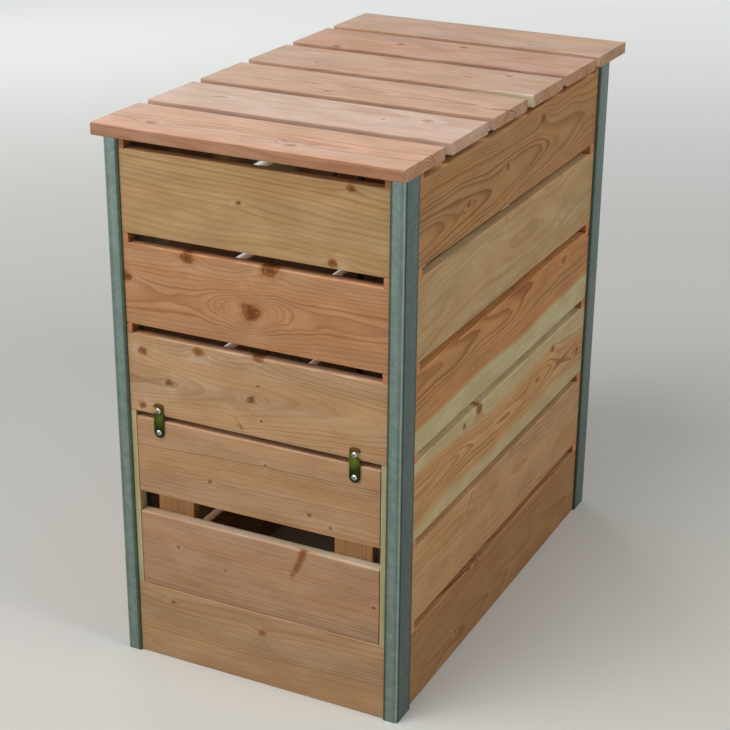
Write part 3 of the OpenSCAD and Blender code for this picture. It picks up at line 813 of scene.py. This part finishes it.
def arc(centre, r, start, stop, steps):
    """Points on a circle about centre from angle start to stop, in degrees."""
    a = np.radians(np.linspace(start, stop, steps + 1))
    return np.c_[centre[0] + r * np.cos(a), centre[1] + r * np.sin(a)]


def sheet_outline(runs, tip_steps=4):
    """Closed outline of folded sheet. runs are (outer, inner) arrays of matching points along its two
    skins. Each end is closed by a half circle between the skins."""
    outer, inner = [np.concatenate(side) for side in zip(*runs)]

    def tip(a, b, ahead):
        half = (b - a) / 2
        turn = np.linspace(0, np.pi, tip_steps + 1)[1:-1, None]
        reach = ahead / np.linalg.norm(ahead) * np.sin(turn) * np.linalg.norm(half)
        return (a + b) / 2 - half * np.cos(turn) + reach

    head = tip(outer[-1], inner[-1], outer[-1] - outer[-2])
    tail = tip(inner[0], outer[0], outer[0] - outer[1])
    return np.concatenate([outer, head, inner[::-1], tail])


def fold_run(centre, r, start, stop, steps=7):
    """A fold as a pair of runs: its outer skin at r and its inner one a sheet's thickness in."""
    return arc(centre, r, start, stop, steps), arc(centre, r - SHEET_T, start, stop, steps)


def shell_outlines():
    """The outer angle with its lips, and the inner angle that makes two channels of it."""
    tip = math.degrees(SHEET_T / 2 / LIP_R)
    outer = sheet_outline([
        fold_run((FACE_W - LIP_R, LIP_R), LIP_R, -tip, -90),
        fold_run((FOLD_R, FOLD_R), FOLD_R, -90, -180, 9),
        fold_run((LIP_R, SIDE_W - LIP_R), LIP_R, 180, 90 + tip),
    ])
    bend = (CHANNEL_OUT - CHANNEL_R, CHANNEL_IN + CHANNEL_R)
    start, end = SHEET_T * 0.98, SIDE_W - SHEET_T / 2
    inner = sheet_outline([
        ([(start, CHANNEL_IN)], [(start, CHANNEL_OUT)]),
        fold_run(bend, CHANNEL_R, -90, 0),
        ([(CHANNEL_OUT, end)], [(CHANNEL_IN, end)]),
    ])
    return outer, inner


def post_skin(outline, corner, mirror, height, seed):
    """Carries a section up Z. Each level is pushed in by up to 0.2 mm in slow waves, as rolled sheet
    is, and the whole is mirrored to its corner."""
    levels = np.linspace(0, height, POST_LEVELS)
    rng = np.random.default_rng(seed)
    phase = rng.uniform(0, 2 * np.pi, 2)
    wave = 0.1 * (2 + np.sin(levels * 9 + phase[0]) + np.sin(levels * 17 + phase[1])) / 2
    inward = 1 - outline / np.array([CHANNEL_OUT, SIDE_W])
    flat = outline[None] + wave[:, None, None] * np.clip(inward, 0, 1)[None]
    rings = np.empty((len(levels), len(outline), 3))
    rings[..., :2] = np.array(corner) + np.array(mirror) * flat * MM
    rings[..., 2] = levels[:, None]
    points, faces = skin(rings)
    x, y = outline.T
    if np.sum(x * np.roll(y, -1) - y * np.roll(x, -1)) * mirror[0] * mirror[1] < 0:
        faces = [f[::-1] for f in faces]
    return points, faces


outlines = shell_outlines()
across = np.concatenate([np.tile(o[:, 0] - o[:, 1], POST_LEVELS) for o in outlines])
for k, (end, side) in enumerate((e, s) for e in ("front", "back") for s in ("left", "right")):
    node = f"post_{end}_{side}"
    low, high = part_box(node)
    mirror = (1 if side == "left" else -1, 1 if end == "front" else -1)
    corner = (low.x if side == "left" else high.x, low.y if end == "front" else high.y)
    parts = [post_skin(o, corner, mirror, high.z, k) for o in outlines]
    make_piece("sheet_" + node, parts, GALVANISED, node, across=across)


# Latches, in mm from the screw they turn on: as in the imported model
STRAP_W, STRAP_T, STRAP_TOP, STRAP_CORNER = 20.0, 2.0, 54.0, 6.5
CATCH, NOTCH_R, BORE_R, STRAP_EDGE = 41.5, 5.5, 2.55, 0.35


def strap_outline():
    """The hook strap from the front, notch to the right: half circle, sides, rounded top, and the
    notch, whose mouth runs out on two arcs about the lower screw."""
    half, foot, head = STRAP_W / 2, CATCH - NOTCH_R, CATCH + NOTCH_R
    corner_x, corner_y = half - STRAP_CORNER, STRAP_TOP - STRAP_CORNER
    return np.concatenate([
        arc((0, 0), half, -180, 0, 24),
        arc((0, 0), foot, math.degrees(math.acos(half / foot)), 90, 8)[:-1],
        arc((0, CATCH), NOTCH_R, -90, -270, 20),
        arc((0, 0), head, 90, math.degrees(math.acos(half / head)), 8)[1:],
        arc((corner_x, corner_y), STRAP_CORNER, 0, 90, 8),
        arc((-corner_x, corner_y), STRAP_CORNER, 90, 180, 8),
    ])


def inset(outline, by):
    """An outline moved inwards by a distance: each point goes along the mean of its two edges' normals."""
    ahead = np.roll(outline, -1, 0) - outline
    ahead /= np.linalg.norm(ahead, axis=1)[:, None]
    mean = ahead + np.roll(ahead, 1, 0)
    mean /= np.linalg.norm(mean, axis=1)[:, None]
    return outline + by * np.c_[-mean[:, 1], mean[:, 0]]


def strap_skin():
    """The strap as stamped: its outline and bore carried through the sheet, with rolled edges. X to
    the right, Y up, Z out of the face, from the back."""
    edge, top = STRAP_EDGE, STRAP_T
    levels = [(0.0, edge), (edge, 0.0), (top - edge, 0.0), (top - edge * 0.3, edge * 0.3), (top, edge)]
    outline, bore = strap_outline(), arc((0, 0), BORE_R, 360, 0, 32)[:-1]

    def at(level, line):
        return np.c_[line, np.full(len(line), level)]

    outer = np.stack([at(z, inset(outline, by)) for z, by in levels])
    inner = np.stack([at(z, bore) for z, _ in levels])
    points, faces = joined([skin(sides, closed_ends=False) for sides in (outer, inner)])
    n, m, last = len(outline), len(bore), len(levels) - 1
    back = np.r_[:n, (last + 1) * n + np.arange(m)]
    front = back + np.r_[np.full(n, last * n), np.full(m, last * m)]
    rim = [Vector(p) for p in outer[-1]], [Vector(p) for p in inner[-1]]
    for corners in tessellate_polygon(rim):
        corners = list(corners)
        a, b, c = points[front[corners], :2]
        if (b - a)[0] * (c - a)[1] - (b - a)[1] * (c - a)[0] < 0:
            corners.reverse()
        faces += [front[corners].tolist(), back[corners][::-1].tolist()]
    return points, faces


for side in ("left", "right"):
    node = f"latch_{side}"
    low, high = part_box(node)
    points, faces = strap_skin()
    sign = -1 if side == "left" else 1
    centre = ((low.x + high.x) / 2, low.z + STRAP_W / 2 * MM)
    placed = np.c_[centre[0] + sign * points[:, 0] * MM, high.y - points[:, 2] * MM,
                   centre[1] + points[:, 1] * MM]
    if sign < 0:
        faces = [f[::-1] for f in faces]
    make_piece("strap_" + node, [(placed, faces)], YELLOW_ZINC, node, smooth_angle=40)


# Screws


def cross_outline(arm, width, count=6):
    """Distance from the middle to the edge of a cross recess, at count angles for each eighth turn."""
    split = math.atan2(width / 2, arm)
    eighth = np.concatenate([np.linspace(0, split, 3), np.linspace(split, np.pi / 4, count - 2)[1:]])
    quarter = np.concatenate([eighth, (np.pi / 2 - eighth)[::-1][1:-1]])
    angles = np.concatenate([quarter + k * np.pi / 2 for k in range(4)])
    fold = np.abs((angles + np.pi / 4) % (np.pi / 2) - np.pi / 4)
    reach = np.where(fold <= split, arm / np.cos(fold), width / 2 / np.maximum(np.sin(fold), 1e-6))
    return angles, reach


def screw_skin(head_r, head_h, shank_r, length, sunk):
    """A screw along +Z with its head's underside at 0: rings of points whose radius goes from the
    recess's edge to the rim and whose height follows a dome, or a flat top where it is sunk. Gives
    points, faces and, for each point, 1 in the recess."""
    arm, width, deep = head_r * 0.6, head_r * 0.3, head_h * 0.6
    angles, reach = cross_outline(arm, width)
    floor_z = deep if sunk else deep - head_h

    def dome(r):
        if sunk:
            return np.zeros_like(r)
        ball = (head_r ** 2 + head_h ** 2) / (2 * head_h)
        return ball - head_h - np.sqrt(np.maximum(ball ** 2 - r ** 2, 0))

    lip, drop = reach * 1.06, 0.12 * head_h
    recess = [(width * 0.2, floor_z)]
    recess += [(reach * share, floor_z - 0.1 * head_h * share) for share in (0.5, 0.86)]
    recess += [(reach, dome(reach) + drop)]
    head = [(r, dome(r)) for r in (lip + (head_r - lip) * share for share in (0, 0.25, 0.5, 0.75, 0.92))]
    if sunk:
        head += [(head_r, 0.0), (head_r, drop), (shank_r, head_h)]
    else:
        head += [(head_r * 0.995, -drop), (head_r, 0.0), (shank_r * 1.3, 0.0), (shank_r, 0.1 * head_h)]
    profile = [*recess, *head, (shank_r, length - shank_r * 2), (shank_r * 0.1, length)]
    rings = np.empty((len(profile), len(angles), 3))
    for ring, (r, z) in zip(rings, profile):
        ring.T[:] = r * np.cos(angles), r * np.sin(angles), np.broadcast_to(z, angles.shape)
    points, faces = skin(rings)
    return points, faces, np.repeat(np.arange(len(rings)) < len(recess), len(angles)).astype(float)


def screws(node, axis, head_r, head_h, shank_r, sunk):
    """Every screw of a node. axis points from the head into the wood."""
    head = 0.0 if sunk else head_h
    side = axis.orthogonal().normalized()
    basis = np.array([list(side), list(axis.cross(side)), list(axis)])
    parts, recesses = [], []
    for low, high in solids(node, 2.5 * head_r * MM, counted=[1 - abs(a) for a in axis]):
        length = abs(Vector(high - low).dot(axis)) / MM
        start = Vector((low + high) / 2) - axis * (length * MM / 2)
        points, faces, recess = screw_skin(head_r, head_h, shank_r, length - head, sunk)
        points = (points + [0, 0, head]) * MM
        parts.append((points @ basis + np.array(start), faces))
        recesses.append(recess)
    recess = np.concatenate(recesses)
    make_piece("zinc_" + node, parts, BRIGHT_ZINC, node, smooth_angle=50, recess=recess)


# A screw's head radius and height and its shank's radius, in mm
LATCH_SCREW, WOOD_SCREW = (5.0, 2.8, 2.5), (4.0, 2.2, 2.0)
for node, axis, sizes, sunk in (
    ("latch_pivot_screws", Y, LATCH_SCREW, False), ("latch_catch_screws", Y, LATCH_SCREW, False),
    ("front_post_screws", -Y, WOOD_SCREW, False), ("back_post_screws", Y, WOOD_SCREW, False),
    ("left_post_screws", -X, WOOD_SCREW, False), ("right_post_screws", X, WOOD_SCREW, False),
    ("flap_screws", -Y, WOOD_SCREW, True), ("lid_screws", Z, WOOD_SCREW, True),
):
    screws(node, axis, *sizes, sunk)


# Floor, light and camera

FLOOR_TONE, BACKDROP_TONE = linear(214, 214, 210), linear(228, 231, 232)
FLOOR_HALF = 14.0
# How strongly the backdrop lights things, and how much more strongly it shows itself
BACKDROP_LIGHT, BACKDROP_GLOW = 0.34, 0.62


def seen_itself(net):
    """1 where the camera sees a thing straight, in a reflection or through glass, and 0 where the
    thing only lights others."""
    seen = net.tree.nodes.new("ShaderNodeLightPath").outputs
    shown = net.math("MAXIMUM", seen["Is Camera Ray"], seen["Is Glossy Ray"])
    return net.math("MAXIMUM", shown, seen["Is Transmission Ray"])


def floor():
    """A plain pale floor, far wider than the view. Further off it shows as pale as the backdrop."""
    mesh = bpy.data.meshes.new("floor")
    corners = [(x * FLOOR_HALF, y * FLOOR_HALF, 0) for x, y in ((-1, -1), (1, -1), (1, 1), (-1, 1))]
    mesh.from_pydata(corners, [], [(0, 1, 2, 3)])
    material, net, shader = new_material("floor")
    for key, value in (("Base Color", FLOOR_TONE), ("Roughness", 0.9), ("Emission Color", BACKDROP_TONE)):
        shader.inputs[key].default_value = value
    far = net.vector("LENGTH", net.add("ShaderNodeTexCoord", out="Object"))
    glow = net.times(net.times(net.ramp(far, 1.0, 6.5), BACKDROP_GLOW), seen_itself(net))
    net.tree.links.new(glow, shader.inputs["Emission Strength"])
    mesh.materials.append(material)
    show("floor", mesh)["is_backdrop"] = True


def lamp(name, place, width, power, colour):
    """A round lamp that faces the middle of the bin."""
    data = bpy.data.lights.new(name, "AREA")
    data.shape, data.size = "DISK", width
    data.energy, data.color = power, colour
    panel = show(name, data)
    panel.location = place
    panel.rotation_euler = (Vector((0, 0, 0.5)) - Vector(place)).to_track_quat("-Z", "Y").to_euler()


def studio_world():
    """Soft light from all round. Where the camera looks past the floor, straight or in a reflection,
    it sees a paler backdrop than the one that lights the object."""
    world = bpy.data.worlds.new("studio")
    world.use_nodes = True
    net = Net(world.node_tree)
    background = net.tree.nodes["Background"].inputs
    background["Color"].default_value = BACKDROP_TONE
    strength = net.line(seen_itself(net), BACKDROP_GLOW, BACKDROP_LIGHT)
    net.tree.links.new(strength, background["Strength"])
    bpy.context.scene.world = world


floor()
studio_world()
# Each lamp's place and width in metres, power in watts, and colour
lamp("sky_panel", (-0.9, -2.0, 4.2), 2.6, 96, (1.0, 0.98, 0.96))
lamp("front_panel", (-2.8, -4.0, 1.8), 2.2, 34, (1.0, 0.98, 0.94))
lamp("side_panel", (3.3, -0.6, 3.5), 1.6, 54, (1.0, 0.97, 0.92))
lamp("back_panel", (-3.6, 3.8, 2.4), 2.2, 30, (1.0, 0.98, 0.96))
bpy.context.scene.view_settings.view_transform = "Standard"

# The camera of the photograph, from a fit to the bin's edges: place in metres, view line, roll, lens
CAMERA_AT = Vector((1.3427, -2.7859, 1.7559))
LOOK = Vector((-0.4054, 0.8266, -0.3905)).normalized()
ROLL = math.radians(0.47)
camera = bpy.data.cameras.new("camera")
camera.lens, camera.sensor_width, camera.sensor_fit = 86.14, 36.0, "AUTO"
camera.clip_end = 60
right = LOOK.cross(Z).normalized()
level = Matrix((right, right.cross(LOOK), -LOOK)).transposed()
viewer = show("camera", camera)
viewer.matrix_world = (level @ Matrix.Rotation(ROLL, 3, "Z")).to_4x4()
viewer.location = CAMERA_AT
bpy.context.scene.camera = viewer

sizes = {"cad": [list(c) for c in cad_box], "visual": [list(c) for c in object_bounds()]}
